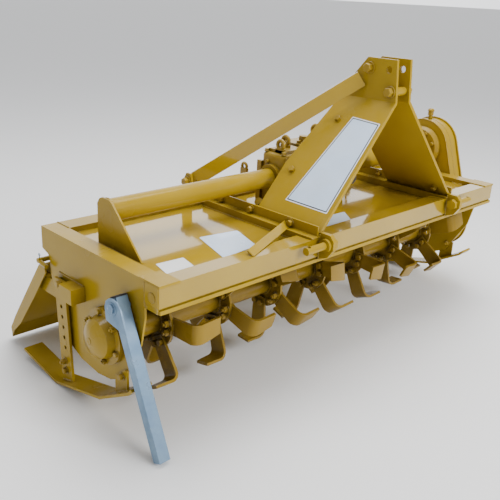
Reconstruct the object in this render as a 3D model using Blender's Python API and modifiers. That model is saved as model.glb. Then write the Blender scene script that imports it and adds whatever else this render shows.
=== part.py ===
"""Three-point rotary tiller: hood, hitch mast, gearbox, side drive, tine rotor, skids, stand, tailgate.

Metres, +Z up.  Positions are written from one datum: x = 0 midway between the side plates,
y = 0 at the front edge of the side plates (the tractor is towards -Y), z = 0 at the deck's top.
"""
import math
import bpy
import bmesh
from mathutils import Matrix, Vector

# ---------------------------------------------------------------- driving dimensions
WIDTH = 1.540              # outside to outside of the side plates
DECK_HEIGHT = 0.435        # floor to deck top when parked
HOOD_DEPTH = 0.474         # front edge to rear edge of a side plate
SIDE_SHEET = 0.006
FLANGE_IN = 0.050          # inward flange along a side plate's top
DECK_DROP = 0.016          # deck sheet below the top of the frame round it
DECK_SHEET = 0.004
REAR_FLANGE = 0.062        # front to back of the frame's rear member
REAR_INSET = 0.030         # rear apron ahead of the hood's rear edge
BAR_DEPTH = 0.054          # front bar, front to back
BAR_HEIGHT = 0.070
BAR_LIP = 0.015            # height of the bar's set-back lower lip
GUSSET_FRONT = 0.112       # front corner of the tube's end gusset
SEAT = 0.0003              # gap kept between two touching pieces
RUN = 0.0006               # radial clearance of a turning piece

ROTOR_Y = 0.160
ROTOR_Z = -0.205
TINE_REACH = 0.171         # rotor axis to the outer face of a blade
ROTOR_TUBE_R = 0.036
STUB_R = 0.020
FLANGE_R = 0.078
SETS = 7
SET_INSET_LEFT = 0.148     # outside of the left side plate to the first tine flange
SET_INSET_RIGHT = 0.156
TINES_PER_SET = 6
TINE_THICK = 0.008
TINE_WIDTH = 0.056
TINE_BEND_R = 0.022
TINE_SIDE = 0.076          # how far a blade reaches sideways
SET_PHASE = math.radians(17.0)

SHAFT_Y = 0.265            # cross tube and drive shaft line
SHAFT_Z = 0.082
TUBE_R = 0.030
HITCH_X = 0.120            # middle of the three-point hitch
MAST_HALF = 0.3415         # half the distance between the mast feet
MAST_TOP_HALF = 0.034
MAST_SHEET = 0.010
MAST_BEND = 0.342
MAST_HEIGHT = 0.463
LINK_HOLE_DROP = 0.030     # top link hole below the mast's top
LINK_HOLE_R = 0.0100
HITCH_PIN_R = 0.0110
HITCH_PIN_Y = -0.080
HITCH_PIN_Z = -0.014
HITCH_PIN_LENGTH = 0.085

BOX_HALF = 0.100           # gearbox half width
BOX_FRONT = 0.200
BOX_REAR = 0.360
BOX_TOP = 0.158
WING_LENGTH = 0.109        # gearbox's left wing, from the box to its outer face
WING_HALF = 0.048          # half its front-to-back depth
SOCKET = 0.014             # collar that the cross tube ends against
INPUT_R = 0.0175           # input shaft, level with the cross shaft
INPUT_REACH = 0.105        # y of the input shaft's free end

CASE_WIDTH = 0.070
CASE_TOP_R = 0.108
CASE_LOW_R = 0.096
HUB_R = 0.075

SKID_WIDTH = 0.060
SKID_SHEET = 0.008
SKID_OUT = 0.035           # how far a skid stands outside its side plate
SKID_LAND_Y = 0.375        # where the sole touches the floor
UPRIGHT_Y = 0.315          # front edge of a skid upright at its foot
UPRIGHT_LEAN = 0.020       # how far its top stands behind its foot
UPRIGHT_WIDTH = 0.053
UPRIGHT_TOP = -0.118

STAND_WIDTH = 0.032
STAND_DEPTH = 0.028
STAND_LEAN = math.radians(24.6)
STAND_Y = 0.062
STAND_Z = -0.082
STAND_BOLT_R = 0.008
STAND_CLEAR = 0.006

HINGE_INSET = 0.007        # tailgate hinge line ahead of the hood's rear edge
HINGE_Z = -0.096
HINGE_ROD_R = 0.007
GATE_SHEET = 0.004
GATE_CLEAR = 0.0055        # tailgate end flange to side plate

DATUM_X = -0.0148          # datum's place in the part's frame
DATUM_Y = -0.2912

GOLD = (0.42, 0.27, 0.045)
GOLD_DARK = (0.36, 0.22, 0.035)
ZINC = (0.50, 0.56, 0.62)
STEEL = (0.45, 0.45, 0.44)

# ---------------------------------------------------------------- scene and helpers
for old in list(bpy.data.objects):
    bpy.data.objects.remove(old, do_unlink=True)
parts = bpy.data.collections.new("rotary_tiller")
cutters = bpy.data.collections.new("cutters")
bpy.context.scene.collection.children.link(parts)
bpy.context.scene.collection.children.link(cutters)


def at(x, y, z):
    """A datum position in the part's frame."""
    return Vector((x + DATUM_X, y + DATUM_Y, z + DECK_HEIGHT))


def painted(ob, colour, metallic=0.0, roughness=0.35):
    mat = bpy.data.materials.new(ob.name)
    mat.use_nodes = True
    shader = mat.node_tree.nodes["Principled BSDF"]
    shader.inputs["Base Color"].default_value = (*colour, 1.0)
    shader.inputs["Metallic"].default_value = metallic
    shader.inputs["Roughness"].default_value = roughness
    ob.data.materials.clear()
    ob.data.materials.append(mat)
    return ob


def mesh_object(name, bm, smooth=False):
    mesh = bpy.data.meshes.new(name)
    bmesh.ops.recalc_face_normals(bm, faces=bm.faces)
    bm.to_mesh(mesh)
    bm.free()
    for face in mesh.polygons:
        face.use_smooth = smooth
    ob = bpy.data.objects.new(name, mesh)
    parts.objects.link(ob)
    return ob


def box(name, low, high):
    """Axis-aligned block between two datum corners."""
    a, b = at(*low), at(*high)
    bm = bmesh.new()
    bmesh.ops.create_cube(bm, size=1.0)
    bmesh.ops.scale(bm, vec=b - a, verts=bm.verts)
    bmesh.ops.translate(bm, vec=(a + b) / 2, verts=bm.verts)
    return mesh_object(name, bm)


def bar(name, start, end, width, thick, side=Vector((0, 0, 1))):
    """Flat bar between two datum points; its width lies as near to 'side' as it can."""
    a, b = at(*start), at(*end)
    along = (b - a).normalized()
    flat = along.cross(side).normalized()
    wide = flat.cross(along)
    turn = Matrix((flat, along, wide)).transposed().to_4x4()
    bm = bmesh.new()
    bmesh.ops.create_cube(bm, size=1.0)
    bmesh.ops.scale(bm, vec=(thick, (b - a).length, width), verts=bm.verts)
    bmesh.ops.transform(bm, matrix=Matrix.Translation((a + b) / 2) @ turn, verts=bm.verts)
    return mesh_object(name, bm)


def rod(name, start, end, radius, sides=24, radius_end=None):
    """Round bar between two datum points."""
    a, b = at(*start), at(*end)
    turn = (b - a).to_track_quat("Z", "Y").to_matrix().to_4x4()
    bm = bmesh.new()
    bmesh.ops.create_cone(bm, cap_ends=True, segments=sides, radius1=radius,
                          radius2=radius if radius_end is None else radius_end, depth=(b - a).length)
    bmesh.ops.transform(bm, matrix=Matrix.Translation((a + b) / 2) @ turn, verts=bm.verts)
    return mesh_object(name, bm, smooth=True)


def circle(y, z, radius, sides=32, start=0.0):
    return [(y + radius * math.cos(start + math.tau * i / sides),
             z + radius * math.sin(start + math.tau * i / sides)) for i in range(sides)]


def plate(name, x_low, x_high, outline, holes=()):
    """Flat plate lying across X: a filled outline in (y, z) with its holes."""
    curve = bpy.data.curves.new(name, "CURVE")
    curve.dimensions = "2D"
    curve.fill_mode = "BOTH"
    curve.extrude = (x_high - x_low) / 2
    for loop in (outline, *holes):
        spline = curve.splines.new("POLY")
        spline.points.add(len(loop) - 1)
        for point, (y, z) in zip(spline.points, loop):
            point.co = (y, z, 0.0, 1.0)
        spline.use_cyclic_u = True
    ob = bpy.data.objects.new(name, curve)
    parts.objects.link(ob)
    place = at((x_low + x_high) / 2, 0.0, 0.0)
    turn = Matrix(((0, 0, 1), (1, 0, 0), (0, 1, 0))).to_4x4()
    return as_mesh(ob, Matrix.Translation(place) @ turn)


def as_mesh(ob, matrix):
    """Turn a curve object into a clean mesh object of the same name, in place."""
    name = ob.name
    bpy.context.view_layer.update()
    mesh = bpy.data.meshes.new_from_object(ob)
    bpy.data.objects.remove(ob, do_unlink=True)
    bm = bmesh.new()
    bm.from_mesh(mesh)
    bmesh.ops.remove_doubles(bm, verts=bm.verts, dist=0.00001)
    bmesh.ops.transform(bm, matrix=matrix, verts=bm.verts)
    return mesh_object(name, bm)


def turned(name, profile, y, z, x_start, sign=1, steps=40):
    """Solid of revolution about the X line through (y, z); profile is (distance along X, radius)."""
    bm = bmesh.new()
    points = [bm.verts.new((sign * along, radius, 0.0)) for along, radius in profile]
    for a, b in zip(points, points[1:]):
        bm.edges.new((a, b))
    mesh = bpy.data.meshes.new(name)
    bm.to_mesh(mesh)
    bm.free()
    ob = bpy.data.objects.new(name, mesh)
    parts.objects.link(ob)
    ob.location = at(x_start, y, z)
    screw = ob.modifiers.new("turn", "SCREW")
    screw.axis = "X"
    screw.steps = steps
    screw.render_steps = steps
    screw.use_merge_vertices = True
    screw.merge_threshold = 0.0001
    screw.use_normal_calculate = True
    screw.use_normal_flip = sign > 0
    screw.use_smooth_shade = True
    return ob


def joined(ob, tool, operation="UNION"):
    """Boolean 'tool' into 'ob'; the tool stays as a hidden cutter."""
    parts.objects.unlink(tool)
    cutters.objects.link(tool)
    tool.hide_render = True
    tool.display_type = "WIRE"
    step = ob.modifiers.new(operation.lower(), "BOOLEAN")
    step.operation = operation
    step.solver = "EXACT"
    step.object = tool
    return ob


def softened(ob, width, segments=2):
    step = ob.modifiers.new("edge", "BEVEL")
    step.width = width
    step.segments = segments
    step.limit_method = "ANGLE"
    step.angle_limit = math.radians(40)
    return ob


def hinged_at(ob, x, y, z):
    """Put an object's origin on its joint axis."""
    pivot = at(x, y, z)
    ob.data.transform(Matrix.Translation(-pivot))
    ob.location = pivot
    return ob


HALF = WIDTH / 2
INSIDE = HALF - SIDE_SHEET
HINGE_Y = HOOD_DEPTH - HINGE_INSET
SET_PITCH = (WIDTH - SET_INSET_LEFT - SET_INSET_RIGHT) / (SETS - 1)
LINK_HOLE_Z = MAST_HEIGHT - LINK_HOLE_DROP
THROUGH = 0.100            # how far a cutter runs past what it cuts


def from_rotor(*offsets):
    return [(ROTOR_Y + dy, ROTOR_Z + dz) for dy, dz in offsets]


def from_hinge(*offsets):
    return [(HINGE_Y + dy, HINGE_Z + dz) for dy, dz in offsets]


# ---------------------------------------------------------------- hood
side_outline = [(0, 0), (0, -BAR_HEIGHT - 0.030),
                *from_rotor((-0.143, 0.029), (-0.069, -0.096), (-0.010, -0.125), (0.048, -0.134),
                            (0.130, -0.125), (0.184, -0.103)),
                (HINGE_Y - 0.062, ROTOR_Z - 0.025), *from_hinge((-0.033, -0.028), (-0.029, 0.016),
                                                                (-0.022, 0.023)),
                (HOOD_DEPTH, HINGE_Z + 0.032), (HOOD_DEPTH, 0)]
for side, name in ((-1, "side_plate_left"), (1, "side_plate_right")):
    low, high = sorted((side * INSIDE, side * HALF))
    sheet = plate(name, low, high, side_outline, [circle(ROTOR_Y, ROTOR_Z, STUB_R + 0.008, 24)])
    low, high = sorted((side * (HALF - FLANGE_IN), side * (INSIDE + 0.002)))
    flange = box(name + "_flange", (low, 0, SEAT - DECK_DROP), (high, HOOD_DEPTH, 0))
    painted(joined(sheet, flange), GOLD_DARK)

beam = box("front_bar", (-HALF, -BAR_DEPTH, -BAR_HEIGHT), (HALF, -SEAT, 0))
hollow = box("bar_hollow", (-INSIDE, SIDE_SHEET - BAR_DEPTH, SIDE_SHEET - BAR_HEIGHT),
             (INSIDE, 0.010, SEAT - DECK_DROP))
joined(beam, hollow, "DIFFERENCE")
painted(joined(beam, box("bar_step", (-HALF - 0.010, -BAR_DEPTH - 0.010, -BAR_HEIGHT - 0.010),
                         (HALF + 0.010, 0.004 - BAR_DEPTH, BAR_LIP - BAR_HEIGHT)), "DIFFERENCE"), GOLD)

deck_rear = HOOD_DEPTH - REAR_INSET
painted(box("deck_sheet", (SEAT - INSIDE, SIDE_SHEET * 2 - BAR_DEPTH, -DECK_DROP - DECK_SHEET),
            (INSIDE - SEAT, deck_rear, -DECK_DROP)), GOLD)

apron = box("rear_apron", (-INSIDE + SEAT, deck_rear + SEAT, HINGE_Z - 0.012),
            (INSIDE - SEAT, deck_rear + SEAT + DECK_SHEET, -DECK_DROP))
frame_half = HALF - FLANGE_IN - SEAT
joined(apron, box("rear_member", (-frame_half, HOOD_DEPTH - REAR_FLANGE, SEAT - DECK_DROP),
                  (frame_half, HOOD_DEPTH, 0)))
joined(apron, box("apron_web", (-frame_half, deck_rear + SEAT, -DECK_DROP - 0.002),
                  (frame_half, deck_rear + SEAT + DECK_SHEET, -0.002)))
for i, x in enumerate((0.070 - HALF, -0.26, 0.26, HALF - 0.070)):
    joined(apron, box(f"apron_lug_{i}", (x - 0.006, deck_rear + 0.002, HINGE_Z - 0.0095),
                      (x + 0.006, HINGE_Y + 0.0095, HINGE_Z + 0.0095)))
joined(apron, rod("apron_bore", (-HALF - THROUGH, HINGE_Y, HINGE_Z), (HALF + THROUGH, HINGE_Y, HINGE_Z),
                  HINGE_ROD_R + SEAT, 16), "DIFFERENCE")
painted(apron, GOLD)

# ---------------------------------------------------------------- tailgate on its hinge rod
rod_end = HALF + 0.020
hinge_rod = rod("tailgate_rod", (-rod_end, HINGE_Y, HINGE_Z), (rod_end, HINGE_Y, HINGE_Z), HINGE_ROD_R, 16)
for side, name in ((-1, "rod_hook_left"), (1, "rod_hook_right")):
    hook = rod(name, (side * (rod_end - 0.006), HINGE_Y + 0.005, HINGE_Z - 0.001),
               (side * (rod_end - 0.006), HINGE_Y - 0.038, HINGE_Z - 0.008), HINGE_ROD_R * 0.9, 12)
    joined(hinge_rod, hook)
painted(hinge_rod, GOLD_DARK)

gate_half = HALF + GATE_CLEAR + GATE_SHEET
gate_line = from_hinge((0.016, -0.0205), (0.101, -0.130), (0.188, -0.244), (0.223, -0.296))
gate_path = [*gate_line, *from_hinge((0.221, -0.3285))]
bm = bmesh.new()
rows = [[bm.verts.new(at(x, y, z)) for x in (-gate_half + 0.002, gate_half - 0.002)] for y, z in gate_path]
for a, b in zip(rows, rows[1:]):
    bm.faces.new((a[0], a[1], b[1], b[0]))
gate = mesh_object("tailgate", bm)
solid = gate.modifiers.new("sheet", "SOLIDIFY")
solid.thickness = GATE_SHEET
solid.offset = 0
solid.use_even_offset = True
gate_flange = [*gate_line, *from_hinge((0.217, -0.3265), (0.205, -0.302), (0.155, -0.256), (0.061, -0.140),
                                       (-0.021, -0.032), (-0.015, -0.020))]
for side, name in ((-1, "gate_flange_left"), (1, "gate_flange_right")):
    low, high = sorted((side * (gate_half - GATE_SHEET), side * gate_half))
    joined(gate, plate(name, low, high, gate_flange))
for i, x in enumerate((-0.48, 0.0, 0.48)):
    joined(gate, rod(f"gate_knuckle_{i}", (x - 0.045, HINGE_Y, HINGE_Z), (x + 0.045, HINGE_Y, HINGE_Z),
                     HINGE_ROD_R + 0.006, 20))
    joined(gate, bar(f"gate_tab_{i}", (x, HINGE_Y + 0.007, HINGE_Z - 0.009),
                     (x, HINGE_Y + 0.027, HINGE_Z - 0.034), 0.084, GATE_SHEET * 1.2, side=Vector((1, 0, 0))))
joined(gate, rod("gate_bore", (-HALF - THROUGH, HINGE_Y, HINGE_Z), (HALF + THROUGH, HINGE_Y, HINGE_Z),
                 HINGE_ROD_R + RUN, 20), "DIFFERENCE")
painted(hinged_at(gate, 0, HINGE_Y, HINGE_Z), GOLD)
for side, name in ((-1, "tailgate_stop_left"), (1, "tailgate_stop_right")):
    low, high = sorted((side * (INSIDE - SEAT), side * (INSIDE - 0.020)))
    painted(plate(name, low, high, from_hinge((-0.087, -0.104), (-0.087, -0.054), (0.0370, -0.054),
                                              (0.0748, -0.104))), GOLD_DARK)

# ---------------------------------------------------------------- hitch mast
foot_z = SEAT
foot_rear = HOOD_DEPTH - REAR_FLANGE - 0.012
leg = 0.006
slope = (MAST_HALF - MAST_TOP_HALF) / (MAST_BEND - foot_z - leg)
mast_rear = [(0.119, MAST_BEND + 0.060), (0.068, MAST_HEIGHT)]
for side, tag in ((-1, "left"), (1, "right")):
    def mast_x(z):
        return HITCH_X + side * (MAST_HALF - slope * max(0.0, min(z, MAST_BEND) - foot_z - leg))
    bottom = foot_z + leg + SEAT + MAST_SHEET * 0.36
    bm = bmesh.new()
    lower = [(-BAR_DEPTH, bottom), (-0.045, MAST_BEND), (0.152, MAST_BEND), (0.200, 0.141), (0.198, bottom)]
    front_low, front_mid, rear_mid, rear_knee, rear_low = [
        bm.verts.new(at(mast_x(z), y, z)) for y, z in lower]
    bm.faces.new((front_low, front_mid, rear_mid, rear_knee, rear_low))
    upper = [bm.verts.new(at(mast_x(z), y, z)) for y, z in (*mast_rear, (-0.034, MAST_HEIGHT))]
    bm.faces.new((front_mid, rear_mid, *upper))
    mast = mesh_object(f"mast_plate_{tag}", bm)
    sheet = mast.modifiers.new("sheet", "SOLIDIFY")
    sheet.thickness = MAST_SHEET
    sheet.offset = 0
    sheet.use_even_offset = True
    joined(mast, rod(f"link_hole_{tag}", (HITCH_X + side * 0.010, -0.010, LINK_HOLE_Z),
                     (HITCH_X + side * 0.060, -0.010, LINK_HOLE_Z), LINK_HOLE_R, 24), "DIFFERENCE")
    painted(mast, GOLD)

    # angle bar under the mast plate, along the deck
    inner, outer = HITCH_X + side * (MAST_HALF - 0.022), HITCH_X + side * (MAST_HALF + 0.034)
    low, high = sorted((inner, outer))
    foot = box(f"mast_foot_{tag}", (low, -BAR_DEPTH, foot_z), (high, foot_rear, foot_z + leg))
    joined(foot, box(f"foot_pad_{tag}", (low, SEAT, SEAT - DECK_DROP), (high, foot_rear, foot_z + 0.002)))
    low, high = sorted((HITCH_X + side * (MAST_HALF + 0.0048), HITCH_X + side * (MAST_HALF + 0.0108)))
    joined(foot, box(f"foot_leg_{tag}", (low, -BAR_DEPTH, foot_z + 0.002), (high, foot_rear, foot_z + 0.034)))
    painted(foot, GOLD)

    # lower hitch bracket in front of the bar, with its pin pointing outwards
    low, high = sorted((HITCH_X + side * MAST_HALF, HITCH_X + side * (MAST_HALF - 0.014)))
    lug_outline = [(-BAR_DEPTH - SEAT, -0.062), (-0.086, -0.050), (-0.104, -0.024), (-0.104, 0.0),
                   (-0.090, 0.016), (-BAR_DEPTH - SEAT, 0.016)]
    painted(plate(f"hitch_bracket_{tag}", low, high, lug_outline,
                  [circle(HITCH_PIN_Y, HITCH_PIN_Z, HITCH_PIN_R + SEAT, 24)]), GOLD)
    face = HITCH_X + side * MAST_HALF
    pin = rod(f"hitch_pin_{tag}", (face - side * 0.020, HITCH_PIN_Y, HITCH_PIN_Z),
              (face + side * HITCH_PIN_LENGTH, HITCH_PIN_Y, HITCH_PIN_Z), HITCH_PIN_R, 24)
    joined(pin, rod(f"pin_collar_{tag}", (face + side * SEAT, HITCH_PIN_Y, HITCH_PIN_Z),
                    (face + side * 0.010, HITCH_PIN_Y, HITCH_PIN_Z), 0.019, 24))
    joined(pin, rod(f"pin_nut_{tag}", (face - side * 0.0143, HITCH_PIN_Y, HITCH_PIN_Z),
                    (face - side * 0.030, HITCH_PIN_Y, HITCH_PIN_Z), 0.018, 6))
    joined(pin, rod(f"linch_hole_{tag}", (face + side * 0.074, HITCH_PIN_Y, HITCH_PIN_Z - 0.03),
                    (face + side * 0.074, HITCH_PIN_Y, HITCH_PIN_Z + 0.03), 0.0055, 12), "DIFFERENCE")
    painted(pin, GOLD_DARK)

    # brace from the mast's top back to a lug at the rear of the deck
    top = (HITCH_X + side * (MAST_TOP_HALF + MAST_SHEET / 2 + 0.0122), 0.075, MAST_BEND + 0.058)
    low_end = (HITCH_X + side * 0.392, HOOD_DEPTH - 0.044, 0.062)
    painted(bar(f"brace_{tag}", top, low_end, 0.046, 0.008), GOLD)
    lug_x = HITCH_X + side * 0.4045
    low, high = sorted((lug_x, lug_x + side * 0.008))
    painted(plate(f"brace_lug_{tag}", low, high,
                  [(HOOD_DEPTH + dy, dz) for dy, dz in
                   ((-0.058, SEAT), (-0.014, SEAT), (-0.020, 0.060), (-0.036, 0.088), (-0.056, 0.088),
                    (-0.062, 0.060))]), GOLD)

gap = MAST_TOP_HALF - MAST_SHEET / 2 - SEAT
spacer = rod("mast_spacer", (HITCH_X - gap, -0.022, MAST_BEND + 0.030),
             (HITCH_X + gap, -0.022, MAST_BEND + 0.030), 0.0125, 20)
painted(spacer, GOLD_DARK)

# ---------------------------------------------------------------- cross tube and gearbox
tube_left = 0.076 - HALF
wing_end = HITCH_X - BOX_HALF - WING_LENGTH
painted(rod("cross_tube", (tube_left + 0.003 + SEAT, SHAFT_Y, SHAFT_Z),
            (wing_end - SOCKET - SEAT, SHAFT_Y, SHAFT_Z), TUBE_R, 32), GOLD)
painted(plate("tube_gusset", tube_left - 0.003, tube_left + 0.003,
              [(GUSSET_FRONT, SEAT - DECK_DROP)] + [(SHAFT_Y + dy, dz) for dy, dz in
               ((0.041, SEAT - DECK_DROP), (0.041, SHAFT_Z + 0.012), (0.031, SHAFT_Z + 0.026),
                (0.019, SHAFT_Z + 0.032), (-0.013, SHAFT_Z + 0.032), (-0.025, SHAFT_Z + 0.026))]), GOLD)
wing = softened(box("axle_housing", (wing_end, SHAFT_Y - WING_HALF, SEAT - DECK_DROP),
                    (HITCH_X - BOX_HALF - SEAT, SHAFT_Y + WING_HALF, BOX_TOP)), 0.012, 3)
painted(joined(wing, rod("tube_socket", (wing_end - SOCKET, SHAFT_Y, SHAFT_Z),
                         (wing_end + 0.010, SHAFT_Y, SHAFT_Z), TUBE_R + 0.012, 32)), GOLD_DARK)

box_body = box("gearbox_housing", (HITCH_X - BOX_HALF, BOX_FRONT, SEAT - DECK_DROP),
               (HITCH_X + BOX_HALF, BOX_REAR, BOX_TOP))
painted(softened(box_body, 0.022, 3), GOLD_DARK)
cover = box("gearbox_cover", (HITCH_X - BOX_HALF + 0.012, BOX_FRONT + 0.012, BOX_TOP + SEAT),
            (HITCH_X + BOX_HALF - 0.012, BOX_REAR - 0.012, BOX_TOP + 0.014))
joined(cover, rod("filler_cap", (HITCH_X - 0.04, 0.29, BOX_TOP + 0.012),
                  (HITCH_X - 0.04, 0.29, BOX_TOP + 0.034), 0.017, 6))
painted(cover, GOLD_DARK)

cap_face = BOX_FRONT - 0.034
cap = rod("input_bearing_cap", (HITCH_X, BOX_FRONT - SEAT, SHAFT_Z), (HITCH_X, cap_face, SHAFT_Z), 0.052, 32)
joined(cap, rod("cap_bore", (HITCH_X, BOX_FRONT + 0.01, SHAFT_Z), (HITCH_X, cap_face - 0.01, SHAFT_Z),
                INPUT_R + RUN, 32), "DIFFERENCE")
painted(cap, GOLD_DARK)
shaft = rod("input_shaft", (HITCH_X, BOX_FRONT - 0.002, SHAFT_Z), (HITCH_X, INPUT_REACH, SHAFT_Z),
            INPUT_R, 32)
for i in range(6):
    turn = math.tau * i / 6
    dx, dz = math.cos(turn), math.sin(turn)
    groove = rod(f"spline_{i}", (HITCH_X + dx * 0.0185, INPUT_REACH + 0.050, SHAFT_Z + dz * 0.0185),
                 (HITCH_X + dx * 0.0185, INPUT_REACH - 0.010, SHAFT_Z + dz * 0.0185), 0.0032, 10)
    joined(shaft, groove, "DIFFERENCE")
painted(hinged_at(shaft, HITCH_X, 0, SHAFT_Z), STEEL, 1.0, 0.35)

# ---------------------------------------------------------------- side drive
tube_right = HALF + SEAT
painted(rod("drive_tube", (HITCH_X + BOX_HALF + SEAT, SHAFT_Y, SHAFT_Z),
            (tube_right - 0.022, SHAFT_Y, SHAFT_Z), TUBE_R + 0.006, 32), GOLD)
painted(turned("case_flange", [(0, 0), (0, 0.072), (0.010, 0.082), (0.0217, 0.082), (0.0217, 0)],
               SHAFT_Y, SHAFT_Z, tube_right - 0.0217), GOLD_DARK)


def belt_outline(top_r, low_r, y0, z0, y1, z1, sides=20):
    """Outline of a belt round two circles, top (y0, z0) and low (y1, z1)."""
    reach = math.hypot(y1 - y0, z1 - z0)
    lean = math.atan2(z1 - z0, y1 - y0)
    spread = math.acos((top_r - low_r) / reach)
    first = [lean + spread + (math.tau - 2 * spread) * i / sides for i in range(sides + 1)]
    second = [lean - spread + 2 * spread * i / sides for i in range(sides + 1)]
    return ([(y0 + top_r * math.cos(a), z0 + top_r * math.sin(a)) for a in first]
            + [(y1 + low_r * math.cos(a), z1 + low_r * math.sin(a)) for a in second])


case_in = HALF + SEAT * 2
case_out = case_in + CASE_WIDTH
case = plate("gear_case", case_in, case_out,
             belt_outline(CASE_TOP_R, CASE_LOW_R, SHAFT_Y, SHAFT_Z, ROTOR_Y, ROTOR_Z))
joined(case, rod("case_bore", (case_in - 0.02, ROTOR_Y, ROTOR_Z), (case_in + 0.030, ROTOR_Y, ROTOR_Z),
                 STUB_R + RUN, 32), "DIFFERENCE")
painted(case, GOLD)
lid = plate("gear_case_cover", case_out + SEAT, case_out + 0.008,
            belt_outline(CASE_TOP_R + 0.006, CASE_LOW_R + 0.006, SHAFT_Y, SHAFT_Z, ROTOR_Y, ROTOR_Z))
for i, (y, z, r) in enumerate(((SHAFT_Y, SHAFT_Z, 0.042), (ROTOR_Y, ROTOR_Z, 0.048))):
    joined(lid, rod(f"cover_boss_{i}", (case_out + 0.006, y, z), (case_out + 0.014, y, z), r, 24))
painted(lid, GOLD)
painted(rod("case_breather", (case_in + 0.034, SHAFT_Y, SHAFT_Z + CASE_TOP_R + SEAT),
            (case_in + 0.034, SHAFT_Y, SHAFT_Z + CASE_TOP_R + 0.028), 0.008, 12), GOLD_DARK)

# ---------------------------------------------------------------- rotor
tube_end = INSIDE - 0.014
rotor = rod("rotor_tube", (-tube_end, ROTOR_Y, ROTOR_Z), (tube_end, ROTOR_Y, ROTOR_Z), ROTOR_TUBE_R, 32)
joined(rotor, rod("rotor_stub", (-HALF - 0.026, ROTOR_Y, ROTOR_Z), (case_in + 0.026, ROTOR_Y, ROTOR_Z),
                  STUB_R, 32))
painted(hinged_at(rotor, 0, ROTOR_Y, ROTOR_Z), GOLD_DARK)

shank = TINE_REACH - TINE_THICK / 2 - TINE_BEND_R
path = [(0.046, 0.0, 0.0), (shank, 0.0, 0.008)]
for i in range(1, 5):
    turn = math.radians(22.5 * i)
    path.append((shank + TINE_BEND_R * math.sin(turn), TINE_BEND_R * (1 - math.cos(turn)),
                 0.008 + 0.006 * i / 4))
path.append((shank + TINE_BEND_R - 0.002, TINE_SIDE, 0.020))
for n in range(SETS):
    set_x = SET_INSET_LEFT - HALF + n * SET_PITCH
    centre = at(set_x, ROTOR_Y, ROTOR_Z)
    bm = bmesh.new()
    for t in range(TINES_PER_SET):
        way = 1 if t % 2 else -1
        angle = math.tau * t / TINES_PER_SET + n * SET_PHASE
        out = Vector((0, math.cos(angle), math.sin(angle)))
        round_ = Vector((0, -math.sin(angle), math.cos(angle)))
        rows = []
        for k, (radius, aside, back) in enumerate(path):
            half = TINE_WIDTH / 2 * (0.82 if k in (0, len(path) - 1) else 1.0)
            middle = centre + out * radius + Vector((way * (0.0075 + aside), 0, 0)) - round_ * back
            rows.append([bm.verts.new(middle + round_ * half), bm.verts.new(middle - round_ * half)])
        for a, b in zip(rows, rows[1:]):
            bm.faces.new((a[0], a[1], b[1], b[0]) if way > 0 else (a[1], a[0], b[0], b[1]))
    tines = bpy.data.meshes.new(f"tines_{n + 1}")
    bm.to_mesh(tines)
    bm.free()
    strips = bpy.data.objects.new(f"tines_{n + 1}", tines)
    parts.objects.link(strips)
    thick = strips.modifiers.new("bar", "SOLIDIFY")
    thick.thickness = TINE_THICK
    thick.offset = 0
    thick.use_even_offset = True
    disc = plate(f"tine_set_{n + 1}", set_x - 0.004, set_x + 0.004, circle(ROTOR_Y, ROTOR_Z, FLANGE_R, 36),
                 [circle(ROTOR_Y, ROTOR_Z, ROTOR_TUBE_R + SEAT, 32)])
    joined(disc, strips)
    painted(hinged_at(disc, set_x, ROTOR_Y, ROTOR_Z), GOLD)

hub = turned("rotor_bearing", [(0.040, 0.0), (0.040, STUB_R + RUN), (0, STUB_R + RUN), (0, HUB_R),
                               (0.012, HUB_R), (0.014, 0.058), (0.034, 0.052), (0.046, 0.038),
                               (0.052, 0.016), (0.053, 0.0)],
             ROTOR_Y, ROTOR_Z, -HALF - SEAT, sign=-1)
painted(hub, GOLD)

# ---------------------------------------------------------------- skids
sole = [*from_rotor((-0.156, -0.079), (-0.142, -0.095), (-0.010, -0.171)),
        (SKID_LAND_Y, -DECK_HEIGHT), (SKID_LAND_Y + 0.185, 0.026 - DECK_HEIGHT)]
ring = CASE_LOW_R + 0.0075
case_side = from_rotor(*((ring * math.cos(math.radians(a)), ring * math.sin(math.radians(a)))
                         for a in (216.6, 246.1)))


def sole_z(y, rise=0.0):
    """Underside of a skid at y, raised by 'rise' square to the sheet."""
    for (y0, z0), (y1, z1) in zip(sole, sole[1:]):
        if y <= y1:
            lean = (z1 - z0) / (y1 - y0)
            return z0 + (y - y0) * lean + rise * math.hypot(1, lean)
    return z1


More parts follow.
